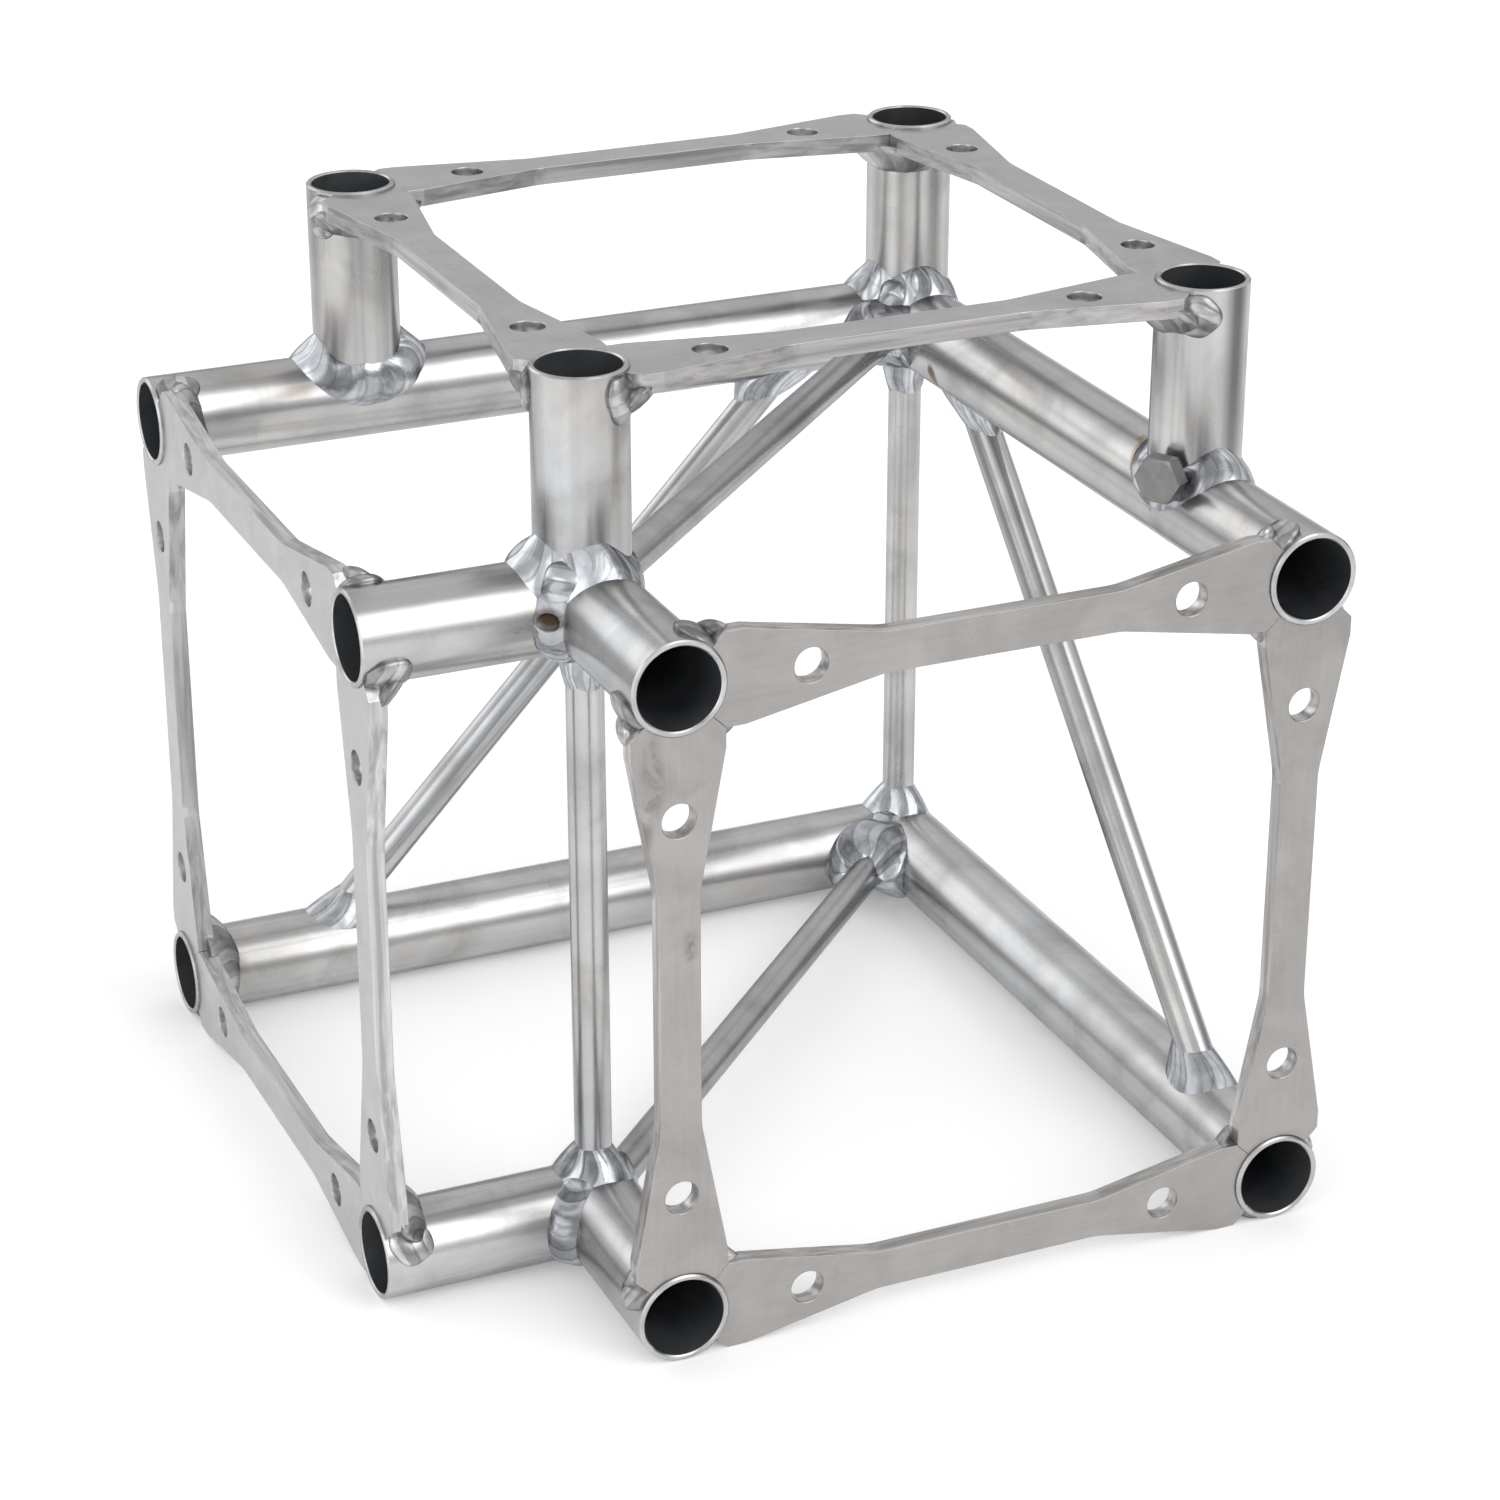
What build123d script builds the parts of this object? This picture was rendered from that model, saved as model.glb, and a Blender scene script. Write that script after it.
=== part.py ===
from build123d import *
import math
import os

os.makedirs("parts", exist_ok=True)

# Chord tubes
chord_od = 50.0
chord_wall = 3.2
rim_chamfer = 0.8

# Lattice: distance between chord axes, and from the node axes to the open ends
chord_pitch = 350.0
arm_reach = 125.0

# Brace tubes, with the distance of each diagonal's axis from the node axes where it meets a chord axis
brace_od = 20.0
brace_wall = 2.0
rear_brace_foot = 47.0
rear_brace_head = 64.0
side_brace_foot = 65.0
side_brace_head = 70.0

# Bolting plates between the chord ends
plate_thickness = 10.0
plate_setback = 2.0
plate_shoulder = 35.0
plate_waist_start = 110.0
plate_waist_width = 22.0
waist_blend = 40.0
hole_d = 18.0
hole_from_axis = 70.0
hole_chamfer = 0.6

# Weld beads
root_gap = 0.3
node_weld_radius = 8.5
node_weld_crown = 2.5
node_weld_lift = 2.0
stub_weld_radius = 9.5
stub_weld_saddle = 10.5
stub_weld_overlap = 15.0
brace_weld_radius = 6.0
plate_weld_radius = 9.5
plate_weld_wrap = 8.0
weld_dress = 1.0

# Distance of the flat diagonals' weld rings from the node axes, in chord radii
outer_ring_reach = 1.14
inner_ring_reach = 1.3

# Hex bolt in the weld of the front right stub
bolt_across_flats = 24.0
bolt_head_height = 9.5
bolt_chamfer_rise = 0.84
bolt_chamfer_run = 2.24
bolt_shank_d = 16.0
bolt_bearing = 60.0
bolt_rise = 23.0
bolt_standoff = 5.0

# Derived places: the origin is at the middle of the footprint, on the ground
chord_r = chord_od / 2
half = (arm_reach + chord_pitch + chord_r) / 2
near = arm_reach - half
far = near + chord_pitch
low = chord_r
high = low + chord_pitch
top = high + arm_reach
MITRE = Vector(1, -1, 0)
node_weld_depth = node_weld_radius - node_weld_crown


def rod(start, direction, length, diameter, bore=0.0):
    with BuildPart() as body:
        with BuildSketch(Plane(origin=start, z_dir=direction)):
            Circle(diameter / 2)
            if bore:
                Circle(bore / 2, mode=Mode.SUBTRACT)
        extrude(amount=length)
    return body.part


def chord(end, inward, length):
    """A chord tube from its open end, with its rim broken inside and out."""
    with BuildPart() as tube:
        with BuildSketch(Plane(origin=end, z_dir=inward)):
            Circle(chord_r)
            Circle(chord_r - chord_wall, mode=Mode.SUBTRACT)
        extrude(amount=length)
        open_face = tube.faces().sort_by(Axis(end, inward))[0]
        chamfer(open_face.edges(), rim_chamfer)
    return tube.part


def mitred(body, node, keep):
    with BuildPart() as piece:
        add(body)
        split(bisect_by=Plane(origin=node, z_dir=MITRE), keep=keep)
    return piece.part


def trimmed(body, *cutters):
    with BuildPart() as piece:
        add(body)
        for cutter in cutters:
            add(cutter, mode=Mode.SUBTRACT)
    return piece.part


def dressed(body, *planes):
    """A weld ground back to each plane, on the side its normal points to."""
    with BuildPart() as piece:
        add(body)
        for plane in planes:
            split(bisect_by=plane, keep=Keep.TOP)
    return piece.part


def placed(body, spot):
    with BuildPart() as piece:
        with Locations(spot):
            add(body)
    return piece.part


def finish(body, name):
    body.label = name
    export_step(body, f"parts/{name}.step")


def x_solid(node, margin=0.0):
    """The full outer form of a chord along X up to its mitre at the node."""
    x, y, z = node
    d = chord_od + 2 * margin
    return mitred(rod((-half, y, z), (1, 0, 0), x + half + d, d), node, Keep.BOTTOM)


def y_solid(node, margin=0.0):
    x, y, z = node
    d = chord_od + 2 * margin
    return mitred(rod((x, -half, z), (0, 1, 0), y + half + d, d), node, Keep.TOP)


def corner(node, margin=0.0):
    return x_solid(node, margin), y_solid(node, margin)


corner_nodes = {
    (side, level): (place, place, height)
    for side, place in (("front_left", near), ("rear_right", far))
    for level, height in (("lower", low), ("upper", high))
}

# Chord tubes of the left and front faces, mitred in pairs at the corner nodes
left_names = {"front_left": "front", "rear_right": "rear"}
front_names = {"front_left": "left", "rear_right": "right"}
for (side, level), node in corner_nodes.items():
    x, y, z = node
    kind = "stub" if side == "front_left" else "chord"
    along_x = chord((-half, y, z), (1, 0, 0), x + half + chord_od)
    finish(mitred(along_x, node, Keep.BOTTOM), f"left_{kind}_{level}_{left_names[side]}")
    along_y = chord((x, -half, z), (0, 1, 0), y + half + chord_od)
    finish(mitred(along_y, node, Keep.TOP), f"front_{kind}_{level}_{front_names[side]}")

# The through chords that carry a stub on their flank
rear_chord = rod((-half, far, high), (1, 0, 0), far + half, chord_od)
side_chord = rod((far, -half, high), (0, 1, 0), far + half, chord_od)
rear_cope = rod((-half, far, high), (1, 0, 0), far + half, chord_od + 2 * root_gap)
side_cope = rod((far, -half, high), (0, 1, 0), far + half, chord_od + 2 * root_gap)
upper_front_left = corner_nodes["front_left", "upper"]
upper_rear_right = corner_nodes["rear_right", "upper"]

# Stubs of the top face, coped onto what carries them
stubs = {
    "front_left": (near, near, corner(upper_front_left, root_gap)),
    "rear_right": (far, far, corner(upper_rear_right, root_gap)),
    "rear_left": (near, far, (rear_cope,)),
    "front_right": (far, near, (side_cope,)),
}
for name, (x, y, copes) in stubs.items():
    finish(trimmed(chord((x, y, top), (0, 0, -1), arm_reach), *copes), f"top_stub_{name}")


def stub_solid(x, y):
    return rod((x, y, high), (0, 0, 1), arm_reach, chord_od)


# Braces: two uprights, two flat diagonals and a diagonal in the rear and the right-hand side
def brace(start, end, *copes):
    run = Vector(*end) - Vector(*start)
    tube = rod(start, run, run.length, brace_od, brace_od - 2 * brace_wall)
    return trimmed(tube, *copes)


def brace_solid(start, end):
    run = Vector(*end) - Vector(*start)
    return rod(start, run, run.length, brace_od)


lines = {}
for side in ("front_left", "rear_right"):
    lines[f"upright_{side}"] = (corner_nodes[side, "lower"], corner_nodes[side, "upper"])
for level in ("lower", "upper"):
    lines[f"flat_diagonal_{level}"] = (
        corner_nodes["front_left", level],
        corner_nodes["rear_right", level],
    )
copes = {key: corner(node, root_gap) for key, node in corner_nodes.items()}
for side in ("front_left", "rear_right"):
    ends = copes[side, "lower"] + copes[side, "upper"]
    finish(brace(*lines[f"upright_{side}"], *ends), f"brace_upright_{side}")
for level in ("lower", "upper"):
    ends = copes["front_left", level] + copes["rear_right", level]
    finish(brace(*lines[f"flat_diagonal_{level}"], *ends), f"brace_flat_{level}")
lines["rear"] = ((near - rear_brace_foot, far, low), (far - rear_brace_head, far, high))
lines["side"] = ((far, near - side_brace_foot, low), (far, far - side_brace_head, high))
rear_ends = copes["rear_right", "lower"][0], copes["rear_right", "upper"][0]
side_ends = copes["rear_right", "lower"][1], copes["rear_right", "upper"][1]
finish(brace(*lines["rear"], *rear_ends), "brace_diagonal_rear")
finish(brace(*lines["side"], *side_ends), "brace_diagonal_side")


# Bolting plate, drawn once from one chord axis to the next with the open ends' plane at Z = 0
def plate_outline():
    waist = plate_waist_width / 2
    left = [(0, 0), (chord_r, chord_r), (plate_shoulder, chord_r), (plate_waist_start, waist)]
    right = [(chord_pitch - u, v) for u, v in reversed(left)]
    upper = left + right
    return upper + [(u, -v) for u, v in reversed(upper[1:-1])]


with BuildPart() as plate:
    with BuildSketch(Plane.XY.offset(-plate_setback)):
        with BuildLine():
            Polyline(*plate_outline(), close=True)
        make_face()
        between_holes = hole_from_axis, chord_pitch - hole_from_axis
        fillet(vertices().filter_by_position(Axis.X, *between_holes), waist_blend)
        with Locations((0, 0), (chord_pitch, 0)):
            Circle(chord_r, mode=Mode.SUBTRACT)
        with Locations(*[(place, 0) for place in between_holes]):
            Circle(hole_d / 2, mode=Mode.SUBTRACT)
    extrude(amount=-plate_thickness)
    chamfer(edges().filter_by(GeomType.CIRCLE).group_by(SortBy.RADIUS)[0], hole_chamfer)

# Bead round one chord end behind two plates at right angles, and along their free edges
plate_back = -plate_setback - plate_thickness
chord_end = rod((0, 0, 0), (0, 0, -1), arm_reach, chord_od)
seam_ends = [Vector(chord_r, 0, 0).rotate(Axis.Z, angle)
             for angle in (-45 - plate_weld_wrap, 135 + plate_weld_wrap)]
across = seam_ends[0].cross(Vector(0, 0, 1))
seam_start = Plane(origin=(0, 0, plate_back), x_dir=seam_ends[0], z_dir=across)
with BuildPart() as plate_weld:
    with BuildSketch(seam_start):
        with Locations((chord_r, 0)):
            Circle(plate_weld_radius)
    revolve(axis=Axis.Z, revolution_arc=180 + 2 * plate_weld_wrap)
    for spot in seam_ends:
        with Locations((spot.X, spot.Y, plate_back)):
            Sphere(plate_weld_radius)
        with BuildSketch(Plane.XY.offset(plate_back)):
            with Locations((spot.X, spot.Y)):
                Circle(plate_weld_radius)
        extrude(amount=plate_thickness)
    add(chord_end, mode=Mode.SUBTRACT)
    with Locations(Location((0, 0, 0)), Location((0, 0, 0), (0, 0, 90))):
        add(plate.part, mode=Mode.SUBTRACT)
    for side in ((1, 0, 0), (0, 1, 0)):
        outer = Vector(*side) * (weld_dress - chord_r)
        split(bisect_by=Plane(origin=outer, z_dir=side), keep=Keep.TOP)

# Each face: its outward normal, first in-plane axis and corner, and names by axis and corner
faces_of = {
    "left": (Plane(origin=(-half, near, low), x_dir=(0, 0, 1), z_dir=(-1, 0, 0)),
             ("front", "rear", "lower", "upper"),
             ("lower_front", "upper_front", "upper_rear", "lower_rear")),
    "front": (Plane(origin=(near, -half, low), x_dir=(1, 0, 0), z_dir=(0, -1, 0)),
              ("lower", "upper", "left", "right"),
              ("lower_left", "lower_right", "upper_right", "upper_left")),
    "top": (Plane(origin=(near, near, top), x_dir=(1, 0, 0), z_dir=(0, 0, 1)),
            ("front", "rear", "left", "right"),
            ("front_left", "front_right", "rear_right", "rear_left")),
}
for face, (plane, plate_names, weld_names) in faces_of.items():
    spots = (Location((0, 0, 0)), Location((0, chord_pitch, 0)),
             Location((0, 0, 0), (0, 0, 90)), Location((chord_pitch, 0, 0), (0, 0, 90)))
    for name, spot in zip(plate_names, spots):
        finish(placed(plate.part, plane.location * spot), f"{face}_plate_{name}")
    turns = ((0, 0), (chord_pitch, 0), (chord_pitch, chord_pitch), (0, chord_pitch))
    for number, (name, (u, v)) in enumerate(zip(weld_names, turns)):
        spot = Location((u, v, 0), (0, 0, 90 * number))
        finish(placed(plate_weld.part, plane.location * spot), f"weld_{face}_plates_{name}")


# Hex bolt that sits in the weld of the front right stub
bearing = math.radians(bolt_bearing)
outward = Vector(-math.sin(bearing), -math.cos(bearing), 0)
bolt_axis_foot = Vector(far, near, high + bolt_rise)
seat = bolt_axis_foot + outward * (chord_r + bolt_standoff)
bolt_plane = Plane(origin=seat, x_dir=(0, 0, 1), z_dir=outward)
with BuildPart() as bolt_crown:
    with BuildSketch(bolt_plane):
        Circle(bolt_across_flats / math.sqrt(3))
    extrude(amount=bolt_head_height)
    outer_face = bolt_crown.faces().sort_by(Axis(seat, outward))[-1]
    chamfer(outer_face.edges(), bolt_chamfer_rise, bolt_chamfer_run)
stub_behind_bolt = stub_solid(far, near)
with BuildPart() as bolt:
    with BuildSketch(bolt_plane):
        RegularPolygon(bolt_across_flats / 2, 6, major_radius=False, rotation=30)
    extrude(amount=bolt_head_height)
    add(bolt_crown.part, mode=Mode.INTERSECT)
    with BuildSketch(bolt_plane):
        Circle(bolt_shank_d / 2)
    extrude(amount=-(bolt_standoff + chord_wall))
    add(stub_behind_bolt, mode=Mode.SUBTRACT)
finish(bolt.part, "hex_bolt")


# Weld beads at the nodes: a round bead along each seam, cut by the tubes it joins
def bead(path, radius):
    with BuildPart() as body:
        with BuildSketch(Plane(origin=path @ 0, z_dir=path % 0)):
            Circle(radius)
        sweep(path=path)
    return body.part


def mitre_bead(node):
    seam_plane = Plane(origin=node, x_dir=(1, 1, 0), z_dir=MITRE)
    rise = chord_r - node_weld_depth
    inner = chord_r * math.sqrt(2) + node_weld_lift
    outer = chord_r * math.sqrt(2) - node_weld_depth
    with BuildLine(seam_plane) as seam:
        EllipticalCenterArc((0, 0), outer, rise, -90, arc_size=180)
        EllipticalCenterArc((0, 0), inner, rise, 90, arc_size=180)
    return bead(seam.wires()[0], node_weld_radius)


def tee_bead(node):
    """The seam of a stub that stands on a chord along X: two tilted half ellipses, mirrored."""
    crest = chord_r + node_weld_lift
    climb = crest - stub_weld_saddle
    saddle = Vector(*node) + Vector(0, 0, stub_weld_saddle)
    seam_plane = Plane(origin=saddle, x_dir=(-crest, 0, climb), z_dir=(climb, 0, crest))
    with BuildLine(seam_plane) as seam:
        EllipticalCenterArc(
            (0, 0),
            math.hypot(crest, climb),
            chord_r + node_weld_crown - stub_weld_radius,
            -90 - stub_weld_overlap,
            arc_size=180 + 2 * stub_weld_overlap,
        )
    whole_bead = bead(seam.wires()[0], stub_weld_radius)
    middle = Plane(origin=node, z_dir=(1, 0, 0))
    with BuildPart() as both:
        add(whole_bead)
        split(bisect_by=middle, keep=Keep.BOTTOM)
        mirror(about=middle)
    return both.part


def ring(centre, direction):
    """A bead round a brace that meets the surface squarely."""
    with BuildPart() as body:
        with Locations(Plane(origin=centre, z_dir=direction)):
            Torus(brace_od / 2 + root_gap, brace_weld_radius)
    return body.part


def slanted_ring(line, end, rise):
    """A bead round a brace that meets a chord at a slant, level with the chord's flank."""
    start, run = Vector(*line[0]), Vector(*line[1]) - Vector(*line[0])
    share = (end + rise - start.Z) / run.Z
    across = Plane(origin=start + run * share, x_dir=Vector(run.X, run.Y, 0), z_dir=(0, 0, 1))
    slant = run.length / run.Z
    reach = brace_od / 2 * slant + root_gap
    with BuildLine(across) as seam:
        EllipticalCenterArc((0, 0), reach, brace_od / 2 + root_gap, 0, arc_size=180)
        EllipticalCenterArc((0, 0), reach, brace_od / 2 + root_gap, 180, arc_size=180)
    return bead(seam.wires()[0], brace_weld_radius)


def corner_stub_bead(node):
    mitre = Plane(origin=node, z_dir=MITRE)
    along_x = tee_bead(node)
    with BuildPart() as both:
        add(along_x)
        split(bisect_by=mitre, keep=Keep.BOTTOM)
        mirror(about=mitre)
    return both.part


def joined(*bodies):
    with BuildPart() as whole:
        for body in bodies:
            add(body)
    return whole.part


# Outer planes of the cube that the welds stay behind
ground = Plane(origin=(0, 0, weld_dress), z_dir=(0, 0, 1))
rear_limit = Plane(origin=(0, half - weld_dress, 0), z_dir=(0, -1, 0))
side_limit = Plane(origin=(half - weld_dress, 0, 0), z_dir=(-1, 0, 0))

# Where each brace's ring sits, measured from the node along the brace
upright_ring = chord_r - root_gap
diagonal_ring = {"front_left": chord_r * outer_ring_reach, "rear_right": chord_r * inner_ring_reach}
slopes = {"front_left": Vector(1, 1, 0).normalized(), "rear_right": Vector(-1, -1, 0).normalized()}
for (side, level), node in corner_nodes.items():
    up = Vector(0, 0, 1 if level == "lower" else -1)
    slope = slopes[side]
    beads = [
        mitre_bead(node),
        ring(Vector(*node) + up * upright_ring, up),
        ring(Vector(*node) + slope * diagonal_ring[side], slope),
    ]
    cutters = [
        *corner(node),
        brace_solid(*lines[f"upright_{side}"]),
        brace_solid(*lines[f"flat_diagonal_{level}"]),
    ]
    if level == "upper":
        beads.append(corner_stub_bead(node))
        cutters.append(stub_solid(node[0], node[1]))
    limits = [ground] if level == "lower" else []
    if side == "rear_right":
        limits += [rear_limit, side_limit]
    finish(dressed(trimmed(joined(*beads), *cutters), *limits), f"weld_node_{level}_{side}")

rear_tee_weld = trimmed(tee_bead((near, far, high)), rear_chord, stub_solid(near, far))
finish(dressed(rear_tee_weld, rear_limit), "weld_tee_rear_left")
tee_along_x = tee_bead((near, far, high))
with BuildPart() as tee_along_y:
    add(tee_along_x)
    mirror(about=Plane(origin=(0, 0, 0), z_dir=MITRE), mode=Mode.REPLACE)
side_tee_weld = trimmed(tee_along_y.part, side_chord, stub_behind_bolt, bolt.part)
finish(dressed(side_tee_weld, side_limit), "weld_tee_front_right")

for level, end, rise in (("lower", low, chord_r), ("upper", high, -chord_r)):
    for name, carrier in zip(("rear", "side"), corner(corner_nodes["rear_right", level])):
        body = trimmed(slanted_ring(lines[name], end, rise), carrier, brace_solid(*lines[name]))
        finish(body, f"weld_diagonal_{name}_{level}")
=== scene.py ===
import math

import bpy
import numpy as np
from mathutils import Matrix, Vector


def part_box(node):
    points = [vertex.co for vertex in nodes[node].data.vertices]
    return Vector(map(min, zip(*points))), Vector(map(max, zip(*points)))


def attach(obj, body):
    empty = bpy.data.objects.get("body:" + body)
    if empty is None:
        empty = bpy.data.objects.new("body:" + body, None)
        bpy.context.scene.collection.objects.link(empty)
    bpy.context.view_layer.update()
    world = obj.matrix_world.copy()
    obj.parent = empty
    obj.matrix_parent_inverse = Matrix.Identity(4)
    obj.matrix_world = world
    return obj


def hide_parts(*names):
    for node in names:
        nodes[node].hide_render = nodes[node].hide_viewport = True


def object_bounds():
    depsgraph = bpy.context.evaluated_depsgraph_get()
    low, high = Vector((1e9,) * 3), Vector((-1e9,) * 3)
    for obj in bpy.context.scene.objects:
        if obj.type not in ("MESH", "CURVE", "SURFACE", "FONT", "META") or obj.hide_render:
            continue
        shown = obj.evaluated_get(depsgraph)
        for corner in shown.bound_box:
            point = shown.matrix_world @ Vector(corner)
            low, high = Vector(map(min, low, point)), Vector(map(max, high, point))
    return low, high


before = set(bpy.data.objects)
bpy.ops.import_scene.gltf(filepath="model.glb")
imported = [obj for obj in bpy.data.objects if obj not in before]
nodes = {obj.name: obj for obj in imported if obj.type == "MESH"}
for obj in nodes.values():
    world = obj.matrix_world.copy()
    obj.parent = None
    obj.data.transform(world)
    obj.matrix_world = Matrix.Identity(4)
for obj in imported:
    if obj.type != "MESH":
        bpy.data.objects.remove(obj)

cad_box = [list(corner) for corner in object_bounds()]


# Sizes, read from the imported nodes, in millimetres
def box_mm(name):
    low_corner, high_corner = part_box(name)
    return np.array(low_corner) * 1000, np.array(high_corner) * 1000


def middle(name):
    a, b = box_mm(name)
    return (a + b) / 2


near, far = middle("top_stub_front_left")[0], middle("top_stub_rear_right")[0]
low, high = middle("left_stub_lower_front")[2], middle("left_stub_upper_front")[2]
mid, mid_z = (near + far) / 2, (low + high) / 2
half_pitch = (far - near) / 2
stub_low, stub_high = box_mm("top_stub_rear_left")
chord_r = (stub_high[0] - stub_low[0]) / 2
top = stub_high[2]
upright_low, upright_high = box_mm("brace_upright_front_left")
brace_r = (upright_high[0] - upright_low[0]) / 2
half = cad_box[1][0] * 1000
wall = 3.2
bore_r = chord_r - wall


# Material nodes
class Graph:
    """A material's node tree with short calls for the nodes used here."""

    def __init__(self, name):
        self.material = bpy.data.materials.new(name)
        self.material.use_nodes = True
        self.tree = self.material.node_tree
        self.shader = self.tree.nodes["Principled BSDF"]

    def add(self, kind, **settings):
        node = self.tree.nodes.new(kind)
        for key, value in settings.items():
            setattr(node, key, value)
        return node

    def put(self, socket, value):
        if isinstance(value, bpy.types.NodeSocket):
            self.tree.links.new(value, socket)
        else:
            socket.default_value = value

    def place(self):
        return self.add("ShaderNodeTexCoord").outputs["Object"]

    def math(self, operation, a, b=0.0, clamp=False):
        node = self.add("ShaderNodeMath", operation=operation, use_clamp=clamp)
        self.put(node.inputs[0], a)
        self.put(node.inputs[1], b)
        return node.outputs[0]

    def scaled(self, vector, scale, shift=(0, 0, 0)):
        node = self.add("ShaderNodeMapping")
        self.put(node.inputs["Vector"], vector)
        node.inputs["Scale"].default_value = scale
        node.inputs["Location"].default_value = shift
        return node.outputs[0]

    def noise(self, vector, scale=1.0, detail=2.0, rough=0.5, warp=0.0):
        node = self.add("ShaderNodeTexNoise")
        self.put(node.inputs["Vector"], vector)
        node.inputs["Scale"].default_value = scale
        node.inputs["Detail"].default_value = detail
        node.inputs["Roughness"].default_value = rough
        node.inputs["Distortion"].default_value = warp
        return node.outputs["Fac"]

    def ramp(self, value, *stops):
        """Colour or grey steps over a value: (place, grey or colour), ..."""
        node = self.add("ShaderNodeValToRGB")
        self.put(node.inputs[0], value)
        ramp = node.color_ramp
        while len(ramp.elements) < len(stops):
            ramp.elements.new(0.5)
        for element, (place, colour) in zip(ramp.elements, stops):
            element.position = place
            element.color = (*colour, 1) if isinstance(colour, tuple) else (colour, colour, colour, 1)
        return node.outputs[0]

    def mix(self, share, a, b, blend="MIX"):
        node = self.add("ShaderNodeMix", data_type="RGBA", blend_type=blend)
        for key, value in (("Factor_Float", share), ("A_Color", a), ("B_Color", b)):
            socket = next(s for s in node.inputs if s.identifier == key)
            if isinstance(value, tuple) and len(value) == 3:
                value = (*value, 1)
            self.put(socket, value)
        return next(s for s in node.outputs if s.identifier == "Result_Color")

    def bump(self, height, distance, strength=1.0, under=None):
        node = self.add("ShaderNodeBump")
        node.inputs["Strength"].default_value = strength
        node.inputs["Distance"].default_value = distance
        self.put(node.inputs["Height"], height)
        if under is not None:
            self.put(node.inputs["Normal"], under)
        return node.outputs[0]

    def spot(self, place, centre, size, soft=0.5):
        """1 inside an ellipsoid round centre, falling to 0 at its edge; centre and size in millimetres."""
        shift = self.add("ShaderNodeVectorMath", operation="SUBTRACT")
        self.put(shift.inputs[0], place)
        shift.inputs[1].default_value = [c / 1000 for c in centre]
        scale = self.add("ShaderNodeVectorMath", operation="DIVIDE")
        self.put(scale.inputs[0], shift.outputs[0])
        scale.inputs[1].default_value = [s / 1000 for s in size]
        reach = self.add("ShaderNodeVectorMath", operation="LENGTH")
        self.put(reach.inputs[0], scale.outputs[0])
        fall = self.add("ShaderNodeMapRange", interpolation_type="SMOOTHSTEP")
        self.put(fall.inputs[0], reach.outputs["Value"])
        for number, value in zip((1, 2, 3, 4), (1 - soft, 1.0, 1.0, 0.0)):
            fall.inputs[number].default_value = value
        return fall.outputs[0]

    def parts(self, vector):
        node = self.add("ShaderNodeSeparateXYZ")
        self.put(node.inputs[0], vector)
        return node.outputs


def times(colour, factor):
    return tuple(factor * c for c in colour)


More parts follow.
